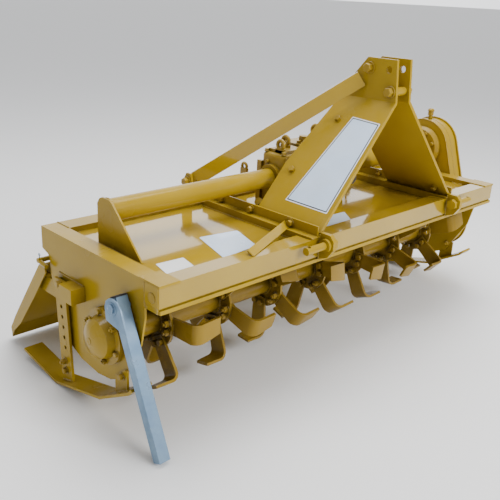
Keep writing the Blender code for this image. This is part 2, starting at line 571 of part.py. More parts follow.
for side, tag in ((-1, "left"), (1, "right")):
    outer = side * (HALF + SKID_OUT)
    bm = bmesh.new()
    rows = [[bm.verts.new(at(outer, y, z)), bm.verts.new(at(outer - side * SKID_WIDTH, y, z))]
            for y, z in sole]
    for a, b in zip(rows, rows[1:]):
        bm.faces.new((a[0], b[0], b[1], a[1]) if side > 0 else (a[1], b[1], b[0], a[0]))
    skid = bpy.data.meshes.new(f"skid_{tag}")
    bm.to_mesh(skid)
    bm.free()
    shoe = bpy.data.objects.new(f"skid_{tag}", skid)
    parts.objects.link(shoe)
    sheet = shoe.modifiers.new("sheet", "SOLIDIFY")
    sheet.thickness = SKID_SHEET
    sheet.offset = 1
    sheet.use_even_offset = True
    low, high = sorted((side * (HALF + SEAT), side * (HALF + 0.007)))
    joined(shoe, plate(f"skid_lug_{tag}", low, high,
                       [(case_side[0][0] - 0.011, sole_z(case_side[0][0] - 0.011, 0.005)),
                        (case_side[0][0] - 0.011, case_side[0][1]), *case_side,
                        (case_side[1][0], sole_z(case_side[1][0], 0.005))]))
    painted(shoe, GOLD)
    low, high = sorted((side * (HALF + 0.008), side * (HALF + 0.016)))
    upright_top = UPRIGHT_Y + UPRIGHT_LEAN
    foot_line = [(y, sole_z(y, SKID_SHEET + SEAT)) for y in (UPRIGHT_Y, UPRIGHT_Y + UPRIGHT_WIDTH)]
    upright = plate(f"skid_upright_{tag}", low, high,
                    [*foot_line, (upright_top + UPRIGHT_WIDTH, UPRIGHT_TOP), (upright_top, UPRIGHT_TOP)],
                    [circle(upright_top + UPRIGHT_WIDTH / 2 - 0.0016 - 0.0028 * i,
                            UPRIGHT_TOP - 0.047 - 0.030 * i, 0.0055, 12) for i in range(6)])
    painted(upright, GOLD)
    low, high = sorted((side * (HALF + SEAT), side * (HALF + 0.042)))
    pocket_y = (-0.077, -0.017) if side < 0 else (0.057, 0.084)
    strap_y = (-0.035, 0.057) if side < 0 else (-0.005, 0.063)
    pocket = box(f"skid_bracket_{tag}", (low, upright_top + pocket_y[0], UPRIGHT_TOP - 0.032),
                 (high, upright_top + pocket_y[1], UPRIGHT_TOP + 0.010))
    low, high = sorted((side * (HALF + SEAT), side * (HALF + 0.0077)))
    joined(pocket, box(f"bracket_strap_{tag}", (low, upright_top + strap_y[0], UPRIGHT_TOP - 0.032),
                       (high, upright_top + strap_y[1], UPRIGHT_TOP - 0.007)))
    painted(pocket, GOLD)

# ---------------------------------------------------------------- parking stand
stand_x = -HALF - STAND_CLEAR - STAND_WIDTH / 2
down = Vector((0, -math.sin(STAND_LEAN), -math.cos(STAND_LEAN)))
front = Vector((0, -math.cos(STAND_LEAN), math.sin(STAND_LEAN)))
head = 0.024
reach = (DECK_HEIGHT + STAND_Z - STAND_DEPTH / 2 * math.sin(STAND_LEAN)) / math.cos(STAND_LEAN)
start = Vector((stand_x, STAND_Y, STAND_Z)) - down * head
finish = Vector((stand_x, STAND_Y, STAND_Z)) + down * reach
leg_tube = bar("parking_stand", start, finish, STAND_WIDTH, STAND_DEPTH, side=Vector((1, 0, 0)))
joined(leg_tube, rod("stand_bore", (stand_x - THROUGH, STAND_Y, STAND_Z),
                     (stand_x + THROUGH, STAND_Y, STAND_Z),
                     STAND_BOLT_R + RUN, 20), "DIFFERENCE")
painted(hinged_at(leg_tube, stand_x, STAND_Y, STAND_Z), ZINC, 0.6, 0.35)
ear_x = -HALF - STAND_CLEAR * 2 - STAND_WIDTH
ear = plate("stand_bracket", ear_x - 0.004, ear_x,
            [(STAND_Y + dy, STAND_Z + dz) for dy, dz in
             ((-0.059, -0.050), (0.026, -0.038), (0.031, -0.004), (0.026, 0.012), (0.014, 0.022),
              (-0.004, 0.026), (-0.022, 0.022), (-0.034, 0.010), (-0.040, -0.005))])
joined(ear, rod("stand_bolt", (-HALF - SEAT, STAND_Y, STAND_Z), (ear_x - 0.006, STAND_Y, STAND_Z),
                STAND_BOLT_R, 20))
joined(ear, rod("stand_bolt_head", (ear_x - 0.003, STAND_Y, STAND_Z), (ear_x - 0.011, STAND_Y, STAND_Z),
                0.013, 6))
painted(ear, ZINC, 0.6, 0.35)
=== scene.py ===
# %% [markdown]
# # A three-point rotary tiller, dressed for a picture
# The imported model is the machine's steelwork: every plate, tube and casting is already in its place.
# This lesson adds what a welder, a fitter, a painter and some months in the yard add: seams, bolts,
# blank labels and finishes. Nothing of the steelwork is moved.

# %% Load the steelwork
import math
import bpy
import bmesh
from mathutils import Matrix, Vector


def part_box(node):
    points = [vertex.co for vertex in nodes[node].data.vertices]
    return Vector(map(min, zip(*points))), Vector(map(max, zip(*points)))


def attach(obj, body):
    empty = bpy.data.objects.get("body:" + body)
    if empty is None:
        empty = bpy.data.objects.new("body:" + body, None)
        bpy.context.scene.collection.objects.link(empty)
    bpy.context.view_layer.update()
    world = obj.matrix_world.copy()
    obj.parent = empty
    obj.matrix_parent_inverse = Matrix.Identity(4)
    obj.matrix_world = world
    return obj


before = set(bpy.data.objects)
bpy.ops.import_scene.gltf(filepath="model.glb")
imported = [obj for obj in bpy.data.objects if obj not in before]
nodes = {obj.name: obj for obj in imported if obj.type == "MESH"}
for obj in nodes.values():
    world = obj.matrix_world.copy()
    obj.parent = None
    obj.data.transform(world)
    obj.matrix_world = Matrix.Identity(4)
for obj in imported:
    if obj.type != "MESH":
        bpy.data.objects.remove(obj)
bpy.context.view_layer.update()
print("pieces in the frame:", len(nodes))

# %% [markdown]
# Positions are easiest to write from the hood itself: so far from its middle, from its front edge and
# above its top. The side plates give that datum. The other lines that details hang on, such as the
# rotor's axis, are read from the boxes of the pieces that turn about them.

# %% A datum on the hood, and the lines that details hang on
left_low, left_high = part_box("side_plate_left")
right_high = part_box("side_plate_right")[1]
DATUM = Vector(((left_low[0] + right_high[0]) / 2, left_low[1], left_high[2]))
HALF = (right_high[0] - left_low[0]) / 2


def at(x, y, z):
    """A point so far right of the hood's middle, behind its front edge and above its top."""
    return DATUM + Vector((x, y, z))


def span(name):
    """A piece's box, low and high corner, in datum terms."""
    low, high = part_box(name)
    return Vector(low) - DATUM, Vector(high) - DATUM


tube_low, tube_high = span("rotor_tube")
ROTOR_Y, ROTOR_Z = (tube_low.y + tube_high.y) / 2, (tube_low.z + tube_high.z) / 2
ROTOR_TUBE = (tube_high.z - tube_low.z) / 2
cross_low, cross_high = span("cross_tube")
SHAFT_Y, SHAFT_Z = (cross_low.y + cross_high.y) / 2, (cross_low.z + cross_high.z) / 2
CROSS_R = (cross_high.z - cross_low.z) / 2
MAST_X = (span("mast_plate_left")[0].x + span("mast_plate_right")[1].x) / 2
DECK = span("deck_sheet")[1].z
print("rotor axis y z", round(ROTOR_Y, 3), round(ROTOR_Z, 3))
print("shaft axis y z", round(SHAFT_Y, 3), round(SHAFT_Z, 3))

# %% [markdown]
# ## The camera
# The camera stands low in front of the near end, as a person would who looks along the hood. A camera
# is rarely held quite level, so a small roll turns the picture about its own axis. The direction is
# built from three angles, which is easier to read than a matrix.

# %% Camera
EYE = Vector((-1.6280, -1.4562, 1.0551))
AZIMUTH, ELEVATION, ROLL = math.radians(-45.3), math.radians(20.62), math.radians(3.03)
LENS = 49.15

toward = Vector((-math.sin(AZIMUTH) * math.cos(ELEVATION), math.cos(AZIMUTH) * math.cos(ELEVATION),
                 -math.sin(ELEVATION)))
camera_data = bpy.data.cameras.new("camera")
camera_data.lens = LENS
camera_data.sensor_width = 36.0
camera = bpy.data.objects.new("camera", camera_data)
bpy.context.scene.collection.objects.link(camera)
level = toward.to_track_quat("-Z", "Y").to_matrix().to_4x4()
camera.matrix_world = Matrix.Translation(EYE) @ level @ Matrix.Rotation(ROLL, 4, "Z")
bpy.context.scene.camera = camera
print("camera at", [round(v, 3) for v in EYE], "lens", LENS)

# %% [markdown]
# ## Floor and light
# A plain pale floor that runs out of sight keeps attention on the machine. The sky is a little brighter
# near the horizon, as on a hazy day, and meets the floor without a hard line. A glossy deck shows what
# stands behind it, so one low patch of the sky has a glow of its own: it puts the long white shine on
# every surface that lies flat. A glow in the sky leaves no edge on the floor, as a lamp would. Two soft
# lamps light the front and the top.

# %% Floor, lights and sky
floor_mesh = bpy.data.meshes.new("floor")
bm = bmesh.new()
bmesh.ops.create_grid(bm, x_segments=2, y_segments=2, size=220.0)
bm.to_mesh(floor_mesh)
bm.free()
floor = bpy.data.objects.new("floor", floor_mesh)
bpy.context.scene.collection.objects.link(floor)
floor.location.z = -0.0005
floor_finish = bpy.data.materials.new("pale_floor")
floor_finish.use_nodes = True
floor_shader = floor_finish.node_tree.nodes["Principled BSDF"]
floor_shader.inputs["Base Color"].default_value = (0.90, 0.90, 0.90, 1)
floor_shader.inputs["Roughness"].default_value = 0.75
floor_mesh.materials.append(floor_finish)


def soft_light(name, place, aim, size, watts, colour=(1, 1, 1)):
    data = bpy.data.lights.new(name, "AREA")
    data.shape = "RECTANGLE"
    data.size, data.size_y = size
    data.energy = watts
    data.color = colour
    lamp = bpy.data.objects.new(name, data)
    bpy.context.scene.collection.objects.link(lamp)
    place, aim = Vector(place), Vector(aim)
    turn = (aim - place).to_track_quat("-Z", "Y").to_matrix().to_4x4()
    lamp.matrix_world = Matrix.Translation(place) @ turn


soft_light("front_light", (0.4, -4.6, 2.8), (0, 0, 0.3), (2.4, 1.6), 235)
soft_light("top_light", (0.3, 0.3, 3.5), (0, 0, 0.3), (2.4, 2.0), 125)
sky = bpy.data.worlds.new("studio")
sky.use_nodes = True
sky_tree = sky.node_tree
way_out = sky_tree.nodes.new("ShaderNodeTexCoord").outputs["Generated"]
height_above = sky_tree.nodes.new("ShaderNodeSeparateXYZ")
sky_tree.links.new(way_out, height_above.inputs["Vector"])
toward_glow = sky_tree.nodes.new("ShaderNodeVectorMath")
toward_glow.operation = "DOT_PRODUCT"
toward_glow.inputs[1].default_value = Vector((0.62, 0.70, 0.34)).normalized()
sky_tree.links.new(way_out, toward_glow.inputs[0])
parts = []
for value, low, high, to_low, to_high in ((height_above.outputs["Z"], 0.0, 0.55, 0.78, 0.56),
                                          (toward_glow.outputs["Value"], 0.62, 0.97, 0.0, 1.5)):
    level = sky_tree.nodes.new("ShaderNodeMapRange")
    level.interpolation_type = "SMOOTHSTEP"
    for name, number in (("From Min", low), ("From Max", high), ("To Min", to_low), ("To Max", to_high)):
        level.inputs[name].default_value = number
    sky_tree.links.new(value, level.inputs["Value"])
    parts.append(level.outputs["Result"])
both = sky_tree.nodes.new("ShaderNodeMath")
sky_tree.links.new(parts[0], both.inputs[0])
sky_tree.links.new(parts[1], both.inputs[1])
sky_tree.links.new(both.outputs[0], sky_tree.nodes["Background"].inputs["Strength"])
sky_tree.nodes["Background"].inputs["Color"].default_value = (0.97, 0.98, 1.0, 1)
bpy.context.scene.world = sky
print("floor, two soft lamps and a hazy sky are set")

# %% [markdown]
# ## Effects that every finish shares
# Three things happen to all painted steel: edges lose paint first, dust settles on what faces up, and
# no surface is perfectly even. Each effect is a small node group with its own numbers, built once. A
# group gives out masks and heights only; the shader itself stays in each material.


# %% Node helpers
def group_tree(name, inputs, outputs):
    tree = bpy.data.node_groups.new(name, "ShaderNodeTree")
    for label, value in inputs:
        socket = tree.interface.new_socket(label, in_out="INPUT", socket_type="NodeSocketFloat")
        socket.default_value = value
    for label in outputs:
        tree.interface.new_socket(label, in_out="OUTPUT", socket_type="NodeSocketFloat")
    return tree, tree.nodes.new("NodeGroupInput"), tree.nodes.new("NodeGroupOutput")


def feed(tree, value, socket):
    """Link a socket, or write a plain number or colour straight into it."""
    if isinstance(value, (int, float)):
        socket.default_value = value
    elif isinstance(value, tuple):
        socket.default_value = (*value, 1.0)
    else:
        tree.links.new(value, socket)


def math_node(tree, operation, a, b, clamp=False):
    node = tree.nodes.new("ShaderNodeMath")
    node.operation = operation
    node.use_clamp = clamp
    feed(tree, a, node.inputs[0])
    feed(tree, b, node.inputs[1])
    return node.outputs[0]


def noise(tree, scale, detail=3.0, roughness=0.55, stretch=None):
    """Noise in object space; stretch scales the three axes, for grain that runs one way."""
    vector = tree.nodes.new("ShaderNodeTexCoord").outputs["Object"]
    if stretch:
        mapping = tree.nodes.new("ShaderNodeMapping")
        mapping.inputs["Scale"].default_value = stretch
        tree.links.new(vector, mapping.inputs["Vector"])
        vector = mapping.outputs["Vector"]
    node = tree.nodes.new("ShaderNodeTexNoise")
    node.inputs["Detail"].default_value = detail
    node.inputs["Roughness"].default_value = roughness
    tree.links.new(vector, node.inputs["Vector"])
    feed(tree, scale, node.inputs["Scale"])
    return node.outputs["Fac"]


def spread(tree, value, low, high, to_low=0.0, to_high=1.0):
    node = tree.nodes.new("ShaderNodeMapRange")
    for label, number in (("From Min", low), ("From Max", high), ("To Min", to_low), ("To Max", to_high)):
        node.inputs[label].default_value = number
    tree.links.new(value, node.inputs["Value"])
    return node.outputs["Result"]


print("node helpers ready")

# %% [markdown]
# Edge wear compares the true surface direction with one rounded off over a few millimetres. They differ
# only near an edge, so the difference is a mask that follows every corner. Noise breaks it into chips.

# %% Group: edge wear
wear_tree, wear_in, wear_out = group_tree("edge_wear", (("Amount", 0.5), ("Chip Scale", 90.0)), ("Mask",))
rounded = wear_tree.nodes.new("ShaderNodeBevel")
rounded.samples = 4
rounded.inputs["Radius"].default_value = 0.0022
true_normal = wear_tree.nodes.new("ShaderNodeNewGeometry")
agree = wear_tree.nodes.new("ShaderNodeVectorMath")
agree.operation = "DOT_PRODUCT"
wear_tree.links.new(rounded.outputs["Normal"], agree.inputs[0])
wear_tree.links.new(true_normal.outputs["Normal"], agree.inputs[1])
edge = spread(wear_tree, agree.outputs["Value"], 0.995, 0.86)
chips = spread(wear_tree, noise(wear_tree, wear_in.outputs["Chip Scale"], 4.0, 0.7), 0.50, 0.62)
worn = math_node(wear_tree, "MULTIPLY", math_node(wear_tree, "MULTIPLY", edge, chips),
                 wear_in.outputs["Amount"], clamp=True)
wear_tree.links.new(worn, wear_out.inputs["Mask"])
print("group built:", wear_tree.name)

# %% [markdown]
# Dust lies on surfaces that face up and gathers in soft patches. The upward part of the surface
# direction gives the first, a broad noise gives the second.

# %% Group: settled dust
dust_tree, dust_in, dust_out = group_tree("settled_dust", (("Amount", 0.4), ("Patch Scale", 9.0)), ("Mask",))
facing = dust_tree.nodes.new("ShaderNodeNewGeometry")
split = dust_tree.nodes.new("ShaderNodeSeparateXYZ")
dust_tree.links.new(facing.outputs["Normal"], split.inputs["Vector"])
upward = spread(dust_tree, split.outputs["Z"], 0.15, 0.95)
patches = spread(dust_tree, noise(dust_tree, dust_in.outputs["Patch Scale"], 5.0, 0.62), 0.40, 0.72)
settled = math_node(dust_tree, "MULTIPLY", math_node(dust_tree, "MULTIPLY", upward, patches),
                    dust_in.outputs["Amount"], clamp=True)
dust_tree.links.new(settled, dust_out.inputs["Mask"])
print("group built:", dust_tree.name)

# %% [markdown]
# Unevenness has two sizes: the slow drift of colour and gloss over a hand's width, and the fine
# pebbling that sprayed paint or a sand casting has. The group gives both, so a material can choose.

# %% Group: uneven coat
coat_tree, coat_in, coat_out = group_tree("uneven_coat", (("Broad Scale", 5.0), ("Fine Scale", 240.0)),
                                          ("Broad", "Fine"))
coat_tree.links.new(noise(coat_tree, coat_in.outputs["Broad Scale"], 3.0, 0.5), coat_out.inputs["Broad"])
coat_tree.links.new(noise(coat_tree, coat_in.outputs["Fine Scale"], 2.0, 0.5), coat_out.inputs["Fine"])
print("group built:", coat_tree.name)

# %% [markdown]
# Corners get painted shade. The same trick as for edges works the other way round: where a surface
# sees little open space, its colour is darkened in noisy patches, as shade would fall there. Ambient
# occlusion measures that.

# %% Group: painted corner shade
shade_tree, shade_in, shade_out = group_tree(
    "painted_corner_shade", (("Amount", 0.5), ("Patch Scale", 30.0), ("Reach", 0.035)), ("Mask",))
open_space = shade_tree.nodes.new("ShaderNodeAmbientOcclusion")
open_space.samples = 4
shade_tree.links.new(shade_in.outputs["Reach"], open_space.inputs["Distance"])
# Painted shade: the less open space a point sees, the darker its colour is made.
shut_in = spread(shade_tree, open_space.outputs["AO"], 0.88, 0.32)
shade_breakup = spread(shade_tree, noise(shade_tree, shade_in.outputs["Patch Scale"], 4.0, 0.6), 0.18, 0.50)
painted_shade = math_node(shade_tree, "MULTIPLY", math_node(shade_tree, "MULTIPLY", shut_in, shade_breakup),
                 shade_in.outputs["Amount"], clamp=True)
shade_tree.links.new(painted_shade, shade_out.inputs["Mask"])
print("group built:", shade_tree.name)


# %% [markdown]
# ## Finishes
# A finish starts from one colour, drifts a little lighter and darker, and then shows three others:
# painted shade in corners, dust on top and bare metal at worn edges. The same recipe serves paint, castings,
# zinc and steel; only the numbers differ, so it is written once as a function.

# %% A finish from its numbers
def place_group(tree, group, **values):
    node = tree.nodes.new("ShaderNodeGroup")
    node.node_tree = group
    for label, value in values.items():
        node.inputs[label.replace("_", " ")].default_value = value
    return node


def blend_colours(tree, mask, under, over):
    node = tree.nodes.new("ShaderNodeMix")
    node.data_type = "RGBA"
    tree.links.new(mask, node.inputs["Factor"])
    a, b = [socket for socket in node.inputs if socket.type == "RGBA"]
    feed(tree, under, a)
    feed(tree, over, b)
    return [socket for socket in node.outputs if socket.type == "RGBA"][0]


def finish(name, colour, drift, worn_to, dusty, gloss, metallic=0.0, coat=0.0, wear=0.5, dust=0.35,
           shade_amount=0.5, reach=0.035, broad=5.0, fine=240.0, fine_mm=0.04, broad_mm=0.4, worn_metal=0.6,
           stretch=None, shade_depth=0.30):
    """gloss is the roughness at the smoothest and dullest places; shade_depth is how dark the painted shade
    in a corner is.
    """
    mat = bpy.data.materials.new(name)
    mat.use_nodes = True
    tree = mat.node_tree
    shader = tree.nodes["Principled BSDF"]
    uneven = place_group(tree, coat_tree, Broad_Scale=broad, Fine_Scale=fine)
    edges = place_group(tree, wear_tree, Amount=wear, Chip_Scale=90.0)
    film = place_group(tree, dust_tree, Amount=dust, Patch_Scale=9.0)
    corners = place_group(tree, shade_tree, Amount=shade_amount, Patch_Scale=30.0, Reach=reach)
    base = blend_colours(tree, spread(tree, uneven.outputs["Broad"], 0.30, 0.70), colour, drift)
    # Painted shade: corners that see little open space are darkened towards the colour times shade_depth.
    base = blend_colours(tree, corners.outputs["Mask"], base, tuple(c * shade_depth for c in colour))
    base = blend_colours(tree, film.outputs["Mask"], base, dusty)
    base = blend_colours(tree, edges.outputs["Mask"], base, worn_to)
    tree.links.new(base, shader.inputs["Base Color"])
    rough = spread(tree, uneven.outputs["Broad"], 0.30, 0.70, gloss[0], gloss[1])
    rough = math_node(tree, "ADD", rough, math_node(tree, "MULTIPLY", film.outputs["Mask"], 0.35), clamp=True)
    tree.links.new(rough, shader.inputs["Roughness"])
    if metallic:
        shader.inputs["Metallic"].default_value = metallic
    elif worn_metal:
        tree.links.new(math_node(tree, "MULTIPLY", edges.outputs["Mask"], worn_metal),
                       shader.inputs["Metallic"])
    shader.inputs["Coat Weight"].default_value = coat
    shader.inputs["Coat Roughness"].default_value = 0.06
    shader.inputs["Specular IOR Level"].default_value = 0.16
    grain = noise(tree, fine, 3.0, 0.6, stretch) if stretch else uneven.outputs["Fine"]
    height = math_node(tree, "ADD", math_node(tree, "MULTIPLY", grain, fine_mm),
                       math_node(tree, "MULTIPLY", uneven.outputs["Broad"], broad_mm))
    bump = tree.nodes.new("ShaderNodeBump")
    bump.inputs["Distance"].default_value = 0.001
    tree.links.new(height, bump.inputs["Height"])
    tree.links.new(bump.outputs["Normal"], shader.inputs["Normal"])
    return mat


DUSTY = (0.46, 0.37, 0.20)
BARE = (0.30, 0.27, 0.22)
gold_paint = finish("gold_paint", (0.385, 0.248, 0.008), (0.330, 0.208, 0.006), BARE, DUSTY, (0.18, 0.28),
                    coat=0.07, wear=0.40, dust=0.16, broad_mm=0.25, shade_amount=0.7, reach=0.06)
gloss_paint = finish("gloss_paint", (0.385, 0.248, 0.008), (0.330, 0.208, 0.006), BARE, DUSTY, (0.10, 0.19),
                    coat=0.90, wear=0.40, dust=0.10, broad_mm=0.20, shade_amount=0.7, reach=0.06)
# The rotor paint is the gold paint darkened as painted shade for its place under the hood, with heavy painted
# corner shade.
shaded_rotor_paint = finish("shaded_rotor_paint", (0.300, 0.185, 0.009), (0.215, 0.127, 0.006), (0.40, 0.35, 0.27),
                     (0.36, 0.28, 0.13), (0.26, 0.42), coat=0.25, wear=0.70, dust=0.12, shade_amount=1.0, reach=0.16,
                     shade_depth=0.14)
cast_paint = finish("cast_paint", (0.360, 0.228, 0.010), (0.280, 0.172, 0.008), BARE, DUSTY, (0.26, 0.42),
                    coat=0.25, wear=0.40, dust=0.25, shade_amount=0.9, reach=0.06, fine=130.0, fine_mm=0.30)
weld_paint = finish("weld_paint", (0.345, 0.218, 0.009), (0.280, 0.172, 0.008), BARE, DUSTY, (0.22, 0.36),
                    coat=0.35, wear=0.30, dust=0.12, shade_amount=0.9, fine=380.0, fine_mm=0.22, broad=26.0)
zinc_plate = finish("zinc_plate", (0.22, 0.33, 0.45), (0.14, 0.23, 0.34), (0.62, 0.67, 0.72),
                    (0.40, 0.42, 0.42), (0.26, 0.42), metallic=0.45, wear=0.55, dust=0.08, shade_amount=0.5,
                    broad=22.0, fine=170.0, fine_mm=0.06, broad_mm=0.2, stretch=(1.0, 1.0, 0.12))
bare_steel = finish("bare_steel", (0.15, 0.13, 0.11), (0.07, 0.06, 0.05), (0.60, 0.59, 0.58),
                    (0.26, 0.22, 0.16), (0.22, 0.40), metallic=1.0, wear=0.5, dust=0.2,
                    fine=260.0, stretch=(1.0, 0.08, 1.0))
black_plastic = finish("black_plastic", (0.014, 0.015, 0.020), (0.028, 0.029, 0.034), (0.10, 0.10, 0.10),
                       (0.20, 0.18, 0.14), (0.38, 0.56), wear=0.3, dust=0.25, worn_metal=0.0)
label_film = finish("label_film", (0.66, 0.80, 0.98), (0.60, 0.74, 0.92), (0.60, 0.60, 0.58),
                    (0.62, 0.58, 0.48), (0.16, 0.28), coat=0.4, wear=0.5, dust=0.22, shade_amount=0.3,
                    broad=14.0, fine=420.0, fine_mm=0.015, broad_mm=0.12, worn_metal=0.0)
label_white = finish("label_white", (0.88, 0.89, 0.90), (0.82, 0.84, 0.85), (0.62, 0.61, 0.58),
                     (0.64, 0.60, 0.50), (0.14, 0.26), coat=0.4, wear=0.5, dust=0.18, shade_amount=0.3,
                     broad=12.0, fine=420.0, fine_mm=0.015, broad_mm=0.12, worn_metal=0.0)
label_ink = finish("label_ink", (0.022, 0.024, 0.040), (0.035, 0.037, 0.055), (0.40, 0.38, 0.34),
                   (0.30, 0.27, 0.20), (0.20, 0.34), coat=0.3, wear=0.5, dust=0.15, shade_amount=0.0,
                   fine=420.0, fine_mm=0.015, broad_mm=0.12, worn_metal=0.0)
print("finishes:", len(bpy.data.materials))

# %% [markdown]
# ## Finishes on the steelwork
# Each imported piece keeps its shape. Two modifiers make it look made rather than drawn: Weld closes the
# seams that the file format leaves between faces, and Bevel rounds each sharp edge by about a
# millimetre, because a cut or folded edge always catches a thin line of light.


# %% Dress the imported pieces
def rounded_edges(ob, width, segments=2):
    weld = ob.modifiers.new("weld", "WELD")
    weld.merge_threshold = 0.00002
    bevel = ob.modifiers.new("edge", "BEVEL")
    bevel.width = width
    bevel.segments = segments
    bevel.limit_method = "ANGLE"
    bevel.angle_limit = math.radians(32)
    bevel.harden_normals = True


CASTINGS = {"axle_housing", "gearbox_housing", "gearbox_cover", "input_bearing_cap", "case_flange",
            "rotor_bearing"}
ZINC = {"parking_stand", "stand_bracket"}
GLOSSY = {"deck_sheet", "front_bar", "brace_left", "brace_right"}
for name, ob in nodes.items():
    if name in CASTINGS:
        mat, width = cast_paint, 0.0018
    elif name in ZINC:
        mat, width = zinc_plate, 0.0014
    elif name == "input_shaft":
        mat, width = bare_steel, 0.0006
    elif name in GLOSSY:
        mat, width = gloss_paint, 0.0006 if name == "deck_sheet" else 0.0011
    # The rotor takes the paint darkened as painted shade.
    elif name.startswith("tine_set") or name == "rotor_tube":
        mat, width = shaded_rotor_paint, 0.0009
    else:
        mat, width = gold_paint, 0.0011
    ob.data.materials.clear()
    ob.data.materials.append(mat)
    for face in ob.data.polygons:
        face.use_smooth = True
    if "custom_normal" in ob.data.attributes:
        ob.data.attributes.remove(ob.data.attributes["custom_normal"])
    rounded_edges(ob, width)
print("dressed", len(nodes), "packed pieces")

# %% [markdown]
# ## Tools for small parts
# Almost every small part is either something turned about a line (bolt heads, washers, caps) or a
# seam that follows a path. The helpers below make both, and the first turns the result into a piece that
# rides on the body it is fastened to and carries the name of its paint.


# %% Helpers for small parts
def piece(name, bm, mat, body, smooth=True, edge=0.0):
    mesh = bpy.data.meshes.new(name)
    bmesh.ops.recalc_face_normals(bm, faces=bm.faces)
    bm.to_mesh(mesh)
    bm.free()
    for face in mesh.polygons:
        face.use_smooth = smooth
    ob = bpy.data.objects.new(name, mesh)
    bpy.context.scene.collection.objects.link(ob)
    ob.data.materials.append(mat)
    if edge:
        rounded_edges(ob, edge)
    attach(ob, body)
    return ob


def turned(bm, place, out, profile, sides=24, phase=0.0):
    """Revolve (distance along 'out', radius) pairs about the line through 'place'; both ends are closed."""
    first, last = profile[0], profile[-1]
    profile = [(first[0], 0.0)] * (first[1] > 0) + list(profile) + [(last[0], 0.0)] * (last[1] > 0)
    across = Vector(out).orthogonal().normalized()
    other = Vector(out).normalized().cross(across)
    rows = []
    for along, radius in profile:
        centre = place + Vector(out).normalized() * along
        if radius <= 0:
            rows.append([bm.verts.new(centre)])
            continue
        rows.append([bm.verts.new(centre + (across * math.cos(phase + math.tau * i / sides)
                                            + other * math.sin(phase + math.tau * i / sides)) * radius)
                     for i in range(sides)])
    for a, b in zip(rows, rows[1:]):
        for i in range(sides):
            j = (i + 1) % sides
            ring = [a[i % len(a)], a[j % len(a)], b[j % len(b)], b[i % len(b)]]
            loop = [v for k, v in enumerate(ring) if v not in ring[:k]]
            if len(loop) > 2:
                bm.faces.new(loop)


def hex_head(bm, place, out, across=0.019, nut=False, washer=True, phase=0.3):
    """A washer and a six-sided head with a turned chamfer; a nut also shows its thread end."""
    base, r = 0.0, across / 2 * 1.155
    if washer:
        base = across * 0.13
        rim = [(0, 0), (0, r * 1.28), (base * 0.7, r * 1.28), (base, r * 1.22), (base, 0)]
        turned(bm, place, out, rim, 28)
    high = across * (0.78 if nut else 0.62)
    head = [(base * 0.9, r), (base + high * 0.86, r), (base + high, r * 0.86), (base + high, 0)]
    turned(bm, place, out, head, 6, phase)
    if nut:
        tip = base + high + across * 0.30
        turned(bm, place, out, [(base + high, r * 0.52), (base + high + across * 0.24, r * 0.52),
                                (tip, r * 0.44), (tip, 0)], 18)


def bead(bm, points, radius, closed=False, step=0.0032):
    """A weld seam: a round bead along a path, with the overlapping scales that a torch leaves."""
    pts = [Vector(p) for p in points] + ([Vector(points[0])] if closed else [])
    line = []
    for a, b in zip(pts, pts[1:]):
        count = max(1, round((b - a).length / step))
        line += [a.lerp(b, i / count) for i in range(count)]
    if not closed:
        line.append(pts[-1])
    rows, total = [], len(line)
    for i, p in enumerate(line):
        ahead = line[(i + 1) % total] if closed or i + 1 < total else p
        behind = line[i - 1] if closed or i else p
        along = (ahead - behind).normalized()
        across = along.cross(Vector((0.31, 0.17, 0.93))).normalized()
        other = along.cross(across)
        size = radius * (0.94 + 0.13 * math.sin(i * 2.1) + 0.06 * math.sin(i * 0.37 + 1.0))
        if not closed and i in (0, total - 1):
            size *= 0.45
        rows.append([bm.verts.new(p + across * size * math.cos(math.tau * k / 8)
                                  + other * size * math.sin(math.tau * k / 8)) for k in range(8)])
    if closed:
        rows.append(rows[0])
    for a, b in zip(rows, rows[1:]):
        for k in range(8):
            bm.faces.new((a[k], a[(k + 1) % 8], b[(k + 1) % 8], b[k]))
    if not closed:
        bm.faces.new(rows[0])
        bm.faces.new(rows[-1])


def hoop(bm, centre, axis, radius, wire, sides=32, around=10):
    """A closed ring of round wire about the line through 'centre'."""
    axis = Vector(axis).normalized()
    across = axis.orthogonal().normalized()
    other = axis.cross(across)
    rows = []
    for i in range(sides):
        out = across * math.cos(math.tau * i / sides) + other * math.sin(math.tau * i / sides)
        rows.append([bm.verts.new(centre + out * (radius + wire * math.cos(math.tau * k / around))
                                  + axis * wire * math.sin(math.tau * k / around)) for k in range(around)])
    for i in range(sides):
        a, b = rows[i], rows[(i + 1) % sides]
        for k in range(around):
            bm.faces.new((a[k], a[(k + 1) % around], b[(k + 1) % around], b[k]))


def ring_path(x, y, z, radius, count=48):
    """A circle about a line along X, in datum terms."""
    return [at(x, y + radius * math.cos(math.tau * i / count), z + radius * math.sin(math.tau * i / count))
            for i in range(count)]


def block(bm, low, high):
    """A plain block between two datum corners, to be edged or joined with others into one part."""
    a, b = at(*low), at(*high)
    corners = bmesh.ops.create_cube(bm, size=1.0)["verts"]
    bmesh.ops.scale(bm, vec=b - a, verts=corners)
    bmesh.ops.translate(bm, vec=(a + b) / 2, verts=corners)


def box_between(bm, ends, half_a, half_b):
    """A bar with square corners from one point to another; its two half widths are given as vectors."""
    corners = ((-1, -1), (1, -1), (1, 1), (-1, 1))
    rows = [[bm.verts.new(p + half_a * a + half_b * b) for a, b in corners] for p in ends]
    for k in range(4):
        bm.faces.new((rows[0][k], rows[0][(k + 1) % 4], rows[1][(k + 1) % 4], rows[1][k]))
    bm.faces.new(rows[0])
    bm.faces.new(rows[1])


print("helpers for small parts ready")

# %% [markdown]
# ## Seams of the hood
# The hood is a ring of flanges with the deck sheet set into it. Long seams between thin sheets are
# stitched: a short bead, a gap, a short bead. Only seams that carry load run the whole way.


